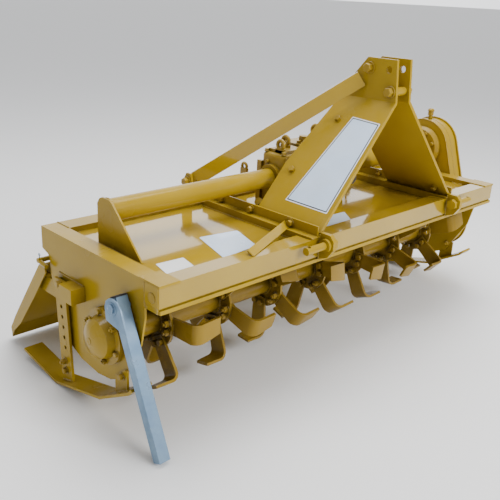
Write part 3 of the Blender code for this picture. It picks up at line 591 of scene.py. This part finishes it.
# %% Weld seams on the hood
def stitched(bm, start, end, radius, dash=0.045, gap=0.060):
    start, end = at(*start), at(*end)
    length, way = (end - start).length, (end - start).normalized()
    where = gap / 3
    while where + dash < length:
        bead(bm, [start + way * where, start + way * (where + dash)], radius)
        where += dash + gap


flange_in = HALF - (span("side_plate_left")[1].x + HALF)
rear_y = span("rear_apron")[1].y
rear_front = rear_y - 0.062
bar_low = span("front_bar")[0]
bm = bmesh.new()
for side in (-1, 1):
    stitched(bm, (side * flange_in, 0.02, DECK), (side * flange_in, rear_front, DECK), 0.0028)
    bead(bm, [at(side * HALF, -0.0002, -0.004), at(side * HALF, -0.0002, bar_low.z + 0.004)], 0.0026)
    bead(bm, [at(side * (HALF - 0.002), 0, 0), at(side * flange_in, 0, 0)], 0.0024)
    joint_x = side * (flange_in - 0.0002)
    bead(bm, [at(joint_x, rear_front, 0), at(joint_x, rear_y - 0.001, 0)], 0.0024)
    inner_x, apron_y = side * (HALF - 0.0065), rear_y - 0.0345
    bead(bm, [at(inner_x, apron_y, -0.022), at(inner_x, apron_y, -0.100)], 0.0030)
stitched(bm, (-flange_in, 0.0006, DECK), (flange_in, 0.0006, DECK), 0.0026)
stitched(bm, (-flange_in, rear_front - 0.0004, DECK), (flange_in, rear_front - 0.0004, DECK), 0.0026)
piece("hood_seams", bm, weld_paint, "frame")
print("hood seams placed")

# %% [markdown]
# The tube that spans the hood ends in a gusset plate. Round joints get a full ring of weld; a flat
# plate that stands on a sheet gets one bead on each side.

# %% Weld seams of the tube, its gusset and the drive tube
gusset_low, gusset_high = span("tube_gusset")
bm = bmesh.new()
bead(bm, ring_path(gusset_high.x + 0.001, SHAFT_Y, SHAFT_Z, CROSS_R + 0.0012), 0.0036, closed=True)
for x in (gusset_low.x, gusset_high.x):
    bead(bm, [at(x, gusset_low.y + 0.004, DECK), at(x, gusset_high.y - 0.004, DECK)], 0.0030)
drive_low, drive_high = span("drive_tube")
drive_r = (drive_high.z - drive_low.z) / 2
for x in (drive_low.x + 0.001, drive_high.x - 0.001):
    bead(bm, ring_path(x, SHAFT_Y, SHAFT_Z, drive_r + 0.0012), 0.0034, closed=True)
piece("tube_seams", bm, weld_paint, "frame")
print("tube seams placed")

# %% [markdown]
# ## The hitch mast
# Each mast plate leans in from its foot to a knee and then stands upright. A helper gives any point on
# its outer face, so that bolts, seams and the label all follow the lean.

# %% A point on a mast plate's outer face
MAST_FOOT, MAST_FOOT_Z, MAST_TOP, MAST_KNEE_Z = 0.3415, 0.0063, 0.034, 0.342


def mast_out(side, z):
    if z > MAST_KNEE_Z:
        return Vector((side, 0, 0))
    return Vector((side * (MAST_KNEE_Z - MAST_FOOT_Z), 0, MAST_FOOT - MAST_TOP)).normalized()


def mast_face(side, y, z, proud=0.0):
    lean = (MAST_FOOT - MAST_TOP) / (MAST_KNEE_Z - MAST_FOOT_Z)
    x = MAST_X + side * (MAST_TOP if z > MAST_KNEE_Z else MAST_FOOT - lean * (z - MAST_FOOT_Z))
    return at(x, y, z) + mast_out(side, z) * (0.005 + proud)


print("left mast face half way up:", [round(v, 3) for v in mast_face(-1, 0.05, 0.17)])

# %% Bolts and seams of the mast
bm, seams = bmesh.new(), bmesh.new()
for side in (-1, 1):
    for y, z, size in ((0.110, 0.276, 0.017), (0.159, 0.128, 0.017), (0.058, 0.433, 0.024),
                       (-0.022, 0.372, 0.024)):
        hex_head(bm, mast_face(side, y, z), mast_out(side, z), size, washer=size > 0.02, phase=y * 9)
    for y in (0.045, 0.205, 0.335):
        hex_head(bm, at(MAST_X + side * (MAST_FOOT + 0.0108), y, 0.019), (side, 0, 0), 0.017, phase=y * 7)
    lug_x = MAST_X + side * 0.4125
    hex_head(bm, at(lug_x, rear_y - 0.044, 0.062), (side, 0, 0), 0.022)
    hex_head(bm, at(MAST_X + side * 0.3875, rear_y - 0.044, 0.062), (-side, 0, 0), 0.022, nut=True)
    for y in (-0.010, 0.220):
        outward = mast_out(side, 0.036)
        hex_head(bm, mast_face(side, y, 0.036, -0.0098), -outward, 0.017, phase=y)
    foot_x = MAST_X + side * (MAST_FOOT + 0.034)
    bead(seams, [at(foot_x, 0.004, DECK), at(foot_x, 0.395, DECK)], 0.0034)
    bead(seams, [at(MAST_X + side * (MAST_FOOT + 0.0042), -0.050, 0.0145),
                 at(MAST_X + side * (MAST_FOOT + 0.0042), 0.190, 0.0145)], 0.0032)
    bead(seams, [at(MAST_X + side * (MAST_FOOT - 0.021), -0.0540, 0.003),
                 at(MAST_X + side * (MAST_FOOT + 0.034), -0.0540, 0.003)], 0.0028)
    for x in (lug_x, lug_x - side * 0.008):
        bead(seams, [at(x, rear_y - 0.056, 0), at(x, rear_y - 0.016, 0)], 0.0028)
    bracket_x = MAST_X + side * MAST_FOOT
    for x in (bracket_x, bracket_x - side * 0.014):
        bead(seams, [at(x, -0.0545, -0.060), at(x, -0.0545, 0.012)], 0.0030)
piece("mast_bolts", bm, cast_paint, "frame", smooth=False, edge=0.0004)
piece("mast_seams", seams, weld_paint, "frame")
print("mast bolts and seams placed")

# %% [markdown]
# The diagonal tie from the mast's foot to the front bar is a short flat bar, welded at both ends. It
# lies tilted, so that rain runs off it.

# %% Diagonal tie at the mast's foot
bm = bmesh.new()
tie_start, tie_end = at(MAST_X - MAST_FOOT - 0.010, 0.060, 0.012), at(-0.470, -0.036, 0.006)
along = (tie_end - tie_start).normalized()
wide = (along.cross(Vector((0, 0, 1))).normalized() * 0.8 + Vector((0, 0, 0.6))).normalized()
thick = along.cross(wide)
box_between(bm, (tie_start, tie_end), wide * 0.012, thick * 0.003)
piece("mast_tie", bm, gold_paint, "frame", edge=0.0009)
bm = bmesh.new()
bead(bm, [tie_end - wide * 0.012, tie_end + wide * 0.012], 0.0034)
bead(bm, [tie_start - wide * 0.012, tie_start + wide * 0.012], 0.0034)
piece("mast_tie_seams", bm, weld_paint, "frame")
print("tie placed, length", round((tie_end - tie_start).length, 3))

# %% [markdown]
# ## Labels, left blank
# Labels are thin films with rounded corners, laid over one another: a white margin, a dark line and a
# pale field. The fields stay empty: a reusable part should carry nobody's words.


# %% Films
def film(bm, corners, out, thick, lift=0.0, round_by=0.06):
    """A rounded four-sided film on a flat face; corners run round it, 'out' points away from the face."""
    a, b, c, d = corners
    line = []
    for (u, v), turn in (((round_by, round_by), math.pi), ((1 - round_by, round_by), 1.5 * math.pi),
                         ((1 - round_by, 1 - round_by), 0.0), ((round_by, 1 - round_by), 0.5 * math.pi)):
        line += [(u + round_by * math.cos(turn + math.pi / 2 * i / 6),
                  v + round_by * math.sin(turn + math.pi / 2 * i / 6)) for i in range(7)]
    rows = []
    for level in (lift, lift + thick):
        rows.append([bm.verts.new(a.lerp(b, u).lerp(d.lerp(c, u), v) + out * level) for u, v in line])
    bm.faces.new(rows[0])
    bm.faces.new(rows[1])
    for i in range(len(line)):
        j = (i + 1) % len(line)
        bm.faces.new((rows[0][i], rows[0][j], rows[1][j], rows[1][i]))


def shrunk(corners, by):
    """The same four-sided outline, each edge moved in by the same amount."""
    return [c + ((corners[i - 1] - c).normalized() + (corners[(i + 1) % 4] - c).normalized()) * by
            for i, c in enumerate(corners)]


def label(name, corners, out, field, margin=0.0, border=0.002, round_by=0.06):
    layers = [("_border", label_ink, margin), ("_field", field, margin + border)]
    if margin:
        layers.insert(0, ("_margin", label_white, 0.0))
    for level, (suffix, mat, inset) in enumerate(layers):
        bm = bmesh.new()
        film(bm, shrunk(corners, inset), out, 0.00025, 0.0001 + level * 0.0002,
             round_by * (1 - 0.15 * level))
        piece(name + suffix, bm, mat, "frame", smooth=False)


UP = Vector((0, 0, 1))
label("mast_label", [mast_face(-1, 0.120, 0.056), mast_face(-1, -0.039, 0.054), mast_face(-1, -0.037, 0.284),
                     mast_face(-1, 0.066, 0.289)], mast_out(-1, 0.1), label_film, 0.0035, 0.0032, 0.014)
label("deck_label_small", [at(-0.688, 0.022, DECK), at(-0.604, 0.014, DECK), at(-0.586, 0.088, DECK),
                           at(-0.670, 0.094, DECK)], UP, label_white, 0.0, 0.0008)
label("deck_label_wide", [at(-0.508, 0.022, DECK), at(-0.374, 0.036, DECK), at(-0.330, 0.160, DECK),
                          at(-0.458, 0.180, DECK)], UP, label_film, 0.0, 0.0008)
label("deck_label_middle", [at(-0.120, 0.014, DECK), at(0.012, 0.010, DECK), at(0.072, 0.090, DECK),
                            at(-0.060, 0.094, DECK)], UP, label_film, 0.0, 0.0008)
print("four blank labels placed")

# %% [markdown]
# ## Ends of the front bar
# The bar is closed by welded plates. Each has a plugged hole at its middle, and a small corner plate
# laps over the top. A narrow strip stiffens the bar's lower lip, and two holes in the bar carry plugs.

# %% Bar ends
bm, plugs = bmesh.new(), bmesh.new()
for side in (-1, 1):
    x = side * HALF
    low, high = sorted((x, x + side * 0.0025))
    block(bm, (low, bar_low.y + 0.001, bar_low.z + 0.016), (high, -0.003, -0.001))
    low, high = sorted((x + side * 0.0015, x - side * 0.060))
    block(bm, (low, bar_low.y - 0.0022, -0.004), (high, 0.020, 0.0028))
    turned(plugs, at(x + side * 0.0024, -0.030, -0.033), (side, 0, 0),
           [(0, 0.0130), (0.0012, 0.0130), (0.0022, 0.0112), (0.0016, 0.0080), (0.0016, 0)], 28)
STRIP_HIGH, STRIP_PROUD = 0.0105, 0.0025
block(bm, (-HALF + 0.002, bar_low.y - STRIP_PROUD, bar_low.z),
      (HALF - 0.002, bar_low.y + 0.0042, bar_low.z + STRIP_HIGH))
piece("bar_end_plates", bm, gold_paint, "frame", smooth=False, edge=0.0009)
piece("bar_end_plugs", plugs, cast_paint, "frame")
bm = bmesh.new()
turned(bm, at(0.506, -0.036, 0.0), (0, 0, 1),
       [(0, 0.0065), (0.0012, 0.0062), (0.0016, 0.0040), (0.0006, 0.0030), (0.0006, 0)], 20)
turned(bm, at(0.533, bar_low.y, -0.0125), (0, -1, 0),
       [(0, 0.0062), (0.0008, 0.0058), (0.0011, 0.0036), (0.0004, 0)], 20)
piece("bar_plugs", bm, black_plastic, "frame")
print("bar ends closed")

# %% [markdown]
# ## Rotor end bearing and skids
# The bearing housing is held by bolts through its flange and has a grease nipple. Skids are bolted at
# the front, and their uprights are pinned in a pocket so that the working depth can be changed.

# %% Bearing bolts, grease nipple and skid fasteners
bm, seams, nipple = bmesh.new(), bmesh.new(), bmesh.new()
hub_low, hub_high = span("rotor_bearing")
hub_r = (hub_high.z - hub_low.z) / 2
for i in range(6):
    turn = math.tau * (i + 0.35) / 6
    hex_head(bm, at(hub_high.x - 0.0125, ROTOR_Y + (hub_r - 0.0085) * math.cos(turn),
                    ROTOR_Z + (hub_r - 0.0085) * math.sin(turn)), (-1, 0, 0), 0.0125, nut=i % 2 == 0, phase=i)
turned(nipple, at(hub_low.x + 0.022, ROTOR_Y + 0.018, ROTOR_Z + 0.042), (-0.4, 0.3, 0.86),
       [(-0.004, 0.0045), (0.004, 0.0045), (0.005, 0.0030), (0.009, 0.0030), (0.011, 0.0036), (0.013, 0.0026),
        (0.014, 0)], 16)
turned(nipple, at(hub_low.x + 0.001, ROTOR_Y, ROTOR_Z), (-1, 0, 0),
       [(0, 0.009), (0.0012, 0.009), (0.002, 0.0065), (0.001, 0.004), (0.001, 0)], 24)
for side, tag in ((-1, "left"), (1, "right")):
    up_low, up_high = span(f"skid_upright_{tag}")
    face = up_low.x if side < 0 else up_high.x
    hex_head(bm, at(face, up_high.y - 0.030, -0.136 + 0.008), (side, 0, 0), 0.016)
    for dz in (0.030, 0.058):
        hex_head(bm, at(face, up_low.y + 0.028 + dz * 0.07, -0.415 + dz), (side, 0, 0), 0.015, nut=dz > 0.05,
                 phase=dz * 20)
    inner = up_high.x if side < 0 else up_low.x
    for x in (face, inner):
        bead(seams, [at(x, up_low.y + 0.003, -0.4095), at(x, up_low.y + 0.050, -0.4218)], 0.0030)
    lug_out = side * (HALF + 0.007)
    hex_head(bm, at(lug_out, 0.086, -0.288), (side, 0, 0), 0.015)
    hex_head(bm, at(side * (HALF - 0.006), 0.086, -0.272), (-side, 0, 0), 0.015, nut=True)
    bead(seams, [at(lug_out, 0.068, -0.3215), at(lug_out, 0.116, -0.3490)], 0.0030)
    br_low, br_high = span(f"skid_bracket_{tag}")
    for z in (br_low.z, br_high.z):
        plate_x = side * (HALF + 0.0005)
        bead(seams, [at(plate_x, br_low.y + 0.004, z), at(plate_x, br_high.y - 0.004, z)], 0.0030)
piece("bearing_and_skid_bolts", bm, cast_paint, "frame", smooth=False, edge=0.0004)
piece("skid_seams", seams, weld_paint, "frame")
piece("grease_nipple", nipple, cast_paint, "frame")
print("bearing and skid fasteners placed")

# %% [markdown]
# ## Gearbox and side drive
# The gearbox is a casting with a wing on its left that takes the tube. Both have ribs, bolts and lifting
# eyes, and the lid has a breather; a small eye on the hood's rear member holds a chain. The side
# drive case is welded sheet with a bolted lid: the bolts follow its outline at an even pitch.

# %% Gearbox dressing
box_low, box_high = span("gearbox_housing")
lid_low, lid_high = span("gearbox_cover")
wing_low, wing_high = span("axle_housing")
lid_top = box_high.z + 0.014
bm, cast = bmesh.new(), bmesh.new()
for i in range(3):
    for j in range(3):
        if (i, j) != (1, 1):
            hex_head(bm, at(lid_low.x + 0.012 + i * (lid_high.x - lid_low.x - 0.024) / 2,
                            lid_low.y + 0.012 + j * (lid_high.y - lid_low.y - 0.024) / 2, lid_top),
                     (0, 0, 1), 0.013, phase=i + j)
for side in (-1, 1):
    x = box_low.x if side < 0 else box_high.x
    for y in (box_low.y + 0.045, box_high.y - 0.045):
        low, high = sorted((x + side * 0.009, x - side * 0.010))
        block(cast, (low, y - 0.006, DECK + 0.004), (high, y + 0.006, box_high.z - 0.030))
    for turn in range(8):
        angle = math.tau * (turn + 0.5) / 8
        where = (SHAFT_Y + 0.060 * math.cos(angle), SHAFT_Z + 0.060 * math.sin(angle))
        if side < 0:
            if turn % 2:
                hex_head(bm, at(wing_low.x + 0.014, SHAFT_Y + 0.0520 * math.cos(angle),
                                SHAFT_Z + 0.0520 * math.sin(angle)), (-1, 0, 0), 0.011, phase=turn)
        else:
            hex_head(bm, at(x, *where), (1, 0, 0), 0.013, phase=turn)
    eye_y = box_low.y + 0.030 if side < 0 else box_high.y - 0.030
    eye = at(MAST_X + side * 0.066, eye_y, lid_top + 0.020)
    hoop(cast, eye, (1, 0, 0), 0.017, 0.0065)
    turned(cast, eye + Vector((0, 0, -0.021)), (0, 0, 1), [(0, 0.013), (0.004, 0.013), (0.008, 0.007)], 20)
cap_low, cap_high = span("input_bearing_cap")
cap_z = (cap_low.z + cap_high.z) / 2
for i in range(6):
    angle = math.tau * i / 6
    hex_head(bm, at(MAST_X + 0.042 * math.cos(angle), cap_low.y, cap_z + 0.042 * math.sin(angle)), (0, -1, 0),
             0.011, phase=i)
turned(cast, at(MAST_X + 0.045, box_low.y + 0.085, lid_top), (0, 0, 1),
       [(0, 0.014), (0.005, 0.014), (0.007, 0.009), (0.014, 0.009), (0.015, 0.015), (0.021, 0.016),
        (0.025, 0.010), (0.026, 0)], 24)
RIB = 0.006
for x in (wing_low.x + 0.040, wing_high.x - 0.026):
    block(cast, (x - RIB, wing_low.y - 0.010, DECK + 0.004),
          (x + RIB, wing_low.y + 0.008, wing_high.z - 0.010))
block(cast, (wing_low.x + 0.006, wing_high.y - 0.006, DECK + 0.004),
      (wing_low.x + 0.018, wing_high.y + 0.012, wing_high.z - 0.030))
for x, y, high in ((wing_low.x + 0.036, SHAFT_Y - 0.010, 0.026),
                   (wing_low.x + 0.082, SHAFT_Y + 0.012, 0.031)):
    block(cast, (x - RIB, y - 0.017, wing_high.z - 0.004), (x + RIB, y + 0.017, wing_high.z + high - 0.012))
    hoop(cast, at(x, y, wing_high.z + high), (1, 0, 0), 0.0125, 0.0062)
block(cast, (wing_low.x + 0.030, SHAFT_Y - 0.034, wing_high.z - 0.004),
      (wing_high.x - 0.004, SHAFT_Y + 0.034, wing_high.z + 0.010))
for x in (wing_low.x + 0.024, wing_high.x - 0.012):
    for y in (SHAFT_Y - 0.036, SHAFT_Y + 0.036):
        hex_head(bm, at(x, y, wing_high.z), (0, 0, 1), 0.012, phase=x * 9 + y)
hex_head(cast, at(wing_low.x + 0.070, wing_low.y, 0.040), (0, -1, 0), 0.022, washer=True)
block(cast, (-0.0365, rear_y - 0.044, -0.002), (-0.0265, rear_y - 0.014, 0.066))
hoop(cast, at(-0.0315, rear_y - 0.029, 0.072), (1, 0, 0), 0.0105, 0.0052)
piece("gearbox_bolts", bm, cast_paint, "frame", smooth=False, edge=0.0003)
piece("gearbox_castings", cast, cast_paint, "frame", edge=0.0012)
print("gearbox dressed")

# %% Side drive case
case_low, case_high = span("gear_case_cover")
case_in, case_out = span("gear_case")
top_r, low_r = case_high.z - SHAFT_Z, ROTOR_Z - case_low.z


def belt(inset, count):
    """Points evenly spaced round the case's outline, 'inset' inside its edge, as (y, z)."""
    reach = math.hypot(ROTOR_Y - SHAFT_Y, ROTOR_Z - SHAFT_Z)
    lean = math.atan2(ROTOR_Z - SHAFT_Z, ROTOR_Y - SHAFT_Y)
    open_by = math.acos((top_r - low_r) / reach)
    fine = []
    for y, z, radius, start, sweep in (
            (SHAFT_Y, SHAFT_Z, top_r - inset, lean + open_by, math.tau - 2 * open_by),
            (ROTOR_Y, ROTOR_Z, low_r - inset, lean - open_by, 2 * open_by)):
        for i in range(61):
            a = start + sweep * i / 60
            fine.append(Vector((y + radius * math.cos(a), z + radius * math.sin(a))))
    fine.append(fine[0])
    whole = sum((b - a).length for a, b in zip(fine, fine[1:]))
    points, run, goal = [], 0.0, 0.0
    for a, b in zip(fine, fine[1:]):
        piece_long = (b - a).length
        while goal < run + piece_long and len(points) < count:
            points.append(a.lerp(b, (goal - run) / piece_long))
            goal += whole / count
        run += piece_long
    return points


bm, seams = bmesh.new(), bmesh.new()
for i, (y, z) in enumerate(belt(0.011, 18)):
    hex_head(bm, at(case_low.x + 0.0078, y, z), (1, 0, 0), 0.0125, phase=i)
for i in range(8):
    angle = math.tau * (i + 0.5) / 8
    hex_head(bm, at(span("case_flange")[0].x, SHAFT_Y + 0.0625 * math.cos(angle),
                    SHAFT_Z + 0.0625 * math.sin(angle)), (-1, 0, 0), 0.0125, phase=i)
turned(bm, at(case_in.x + 0.034, SHAFT_Y, SHAFT_Z + top_r - 0.006 + 0.028), (0, 0, 1),
       [(-0.014, 0.011), (-0.002, 0.011), (0, 0.009), (0.001, 0.0125), (0.007, 0.0125), (0.012, 0.008),
        (0.013, 0)], 20)
bead(seams, [at(case_in.x + 0.0015, y, z) for y, z in belt(0.0062, 110)], 0.0028, closed=True)
bead(seams, [at((case_in.x + case_out.x) / 2, y, z) for y, z in belt(0.0064, 110)], 0.0016, closed=True)
piece("drive_case_bolts", bm, cast_paint, "frame", smooth=False, edge=0.0003)
piece("drive_case_seams", seams, weld_paint, "frame")
print("side drive dressed")

# %% [markdown]
# ## Rotor
# Each flange is welded to the rotor tube on both faces and carries six tines, three to each side. A
# tine is held by two bolts: heads on the tine, nuts on the flange. They turn with the rotor.

# %% Tine bolts and flange welds
TINES = 6
PHASE = math.radians(17.0)
TINE_BOLT, BOLT_RING, BOLT_APART = 0.0165, 0.064, 0.025
bm, seams = bmesh.new(), bmesh.new()
for n in range(7):
    low, high = span(f"tine_set_{n + 1}")
    x = (low.x + high.x) / 2
    for side in (-1, 1):
        ring = ring_path(x + side * 0.0045, ROTOR_Y, ROTOR_Z, ROTOR_TUBE + 0.0012, 40)
        bead(seams, ring, 0.0036, closed=True)
    for t in range(TINES):
        way = 1 if t % 2 else -1
        angle = math.tau * t / TINES + n * PHASE
        out = Vector((0, math.cos(angle), math.sin(angle)))
        aside = Vector((0, -math.sin(angle), math.cos(angle)))
        for offset in (-BOLT_APART / 2, BOLT_APART / 2):
            spot = at(x, ROTOR_Y, ROTOR_Z) + out * BOLT_RING + aside * offset
            hex_head(bm, spot + Vector((way * 0.0113, 0, 0)), (way, 0, 0), TINE_BOLT, washer=False,
                     phase=t + offset)
            hex_head(bm, spot - Vector((way * 0.0040, 0, 0)), (-way, 0, 0), TINE_BOLT, nut=True,
                     phase=n + offset)
# The rotor's bolts and seams take its paint, darkened as painted shade.
piece("tine_bolts", bm, shaded_rotor_paint, "rotor", smooth=False, edge=0.0003)
piece("rotor_seams", seams, shaded_rotor_paint, "rotor")
print("rotor dressed: 84 bolts, 14 ring welds")

# %% [markdown]
# ## Stand and tailgate
# The stand is a zinc-plated tube with a plastic plug in its top, on a bolt with a broad washer. The
# tailgate's hinge rod is kept at its ends by split pins.

# %% Stand
stand_low, stand_high = span("parking_stand")
LEAN = math.radians(24.6)
down = Vector((0, -math.sin(LEAN), -math.cos(LEAN)))
stand_x = (stand_low.x + stand_high.x) / 2
pivot = at(stand_x, 0.062, -0.082)
bm = bmesh.new()
level_x, level_f = Vector((1, 0, 0)), down.cross(Vector((1, 0, 0)))
for half_x, half_f, low, high in ((0.0162, 0.0142, 0.024, 0.0262), (0.0150, 0.0130, 0.0262, 0.0276)):
    box_between(bm, (pivot - down * low, pivot - down * high), level_x * half_x, level_f * half_f)
piece("stand_plug", bm, black_plastic, "stand", smooth=False, edge=0.0008)
bm = bmesh.new()
ear_low = span("stand_bracket")[0]
turned(bm, at(ear_low.x + 0.0070, 0.062, -0.082), (-1, 0, 0),
       [(-0.001, 0.0175), (0.0010, 0.0175), (0.0016, 0.0165), (0.0016, 0.010)], 32)
turned(bm, at(ear_low.x + 0.0004, 0.062, -0.082), (-1, 0, 0),
       [(0, 0.0095), (0.0006, 0.0088), (0.0003, 0.0060), (0.0003, 0)], 28)
piece("stand_washer", bm, zinc_plate, "frame")
print("stand dressed")

# %% Tailgate seams and split pins
bm, seams, pins = bmesh.new(), bmesh.new(), bmesh.new()
hinge_y, hinge_z = rear_y - 0.007, -0.096
gate_low, gate_high = span("tailgate")
fold = [(0.016, -0.0205), (0.101, -0.130), (0.188, -0.244), (0.223, -0.296), (0.221, -0.326)]
for side, x in ((-1, gate_low.x + 0.0045), (1, gate_high.x - 0.0045)):
    bead(seams, [at(x, hinge_y + dy - 0.002, hinge_z + dz - 0.002) for dy, dz in fold], 0.0028)
for x in (-0.48, 0.0, 0.48):
    for end in (x - 0.045, x + 0.045):
        knuckle = [at(end, hinge_y + 0.006, hinge_z - 0.012), at(end, hinge_y + 0.026, hinge_z - 0.036)]
        bead(seams, knuckle, 0.0026)
    lap_y, lap_z = hinge_y + 0.0290, hinge_z - 0.0355
    bead(seams, [at(x - 0.042, lap_y, lap_z), at(x + 0.042, lap_y, lap_z)], 0.0028)
piece("tailgate_seams", seams, weld_paint, "tailgate_body")
for side in (-1, 1):
    x = side * (HALF + 0.0125)
    turned(pins, at(x, hinge_y, hinge_z + 0.012), (0, 0, -1), [(0, 0.0013), (0.026, 0.0013)], 10)
    hoop(pins, at(x, hinge_y, hinge_z + 0.0150), (1, 0, 0), 0.0035, 0.0012, 20, 8)
piece("split_pins", pins, zinc_plate, "frame")
print("tailgate dressed")
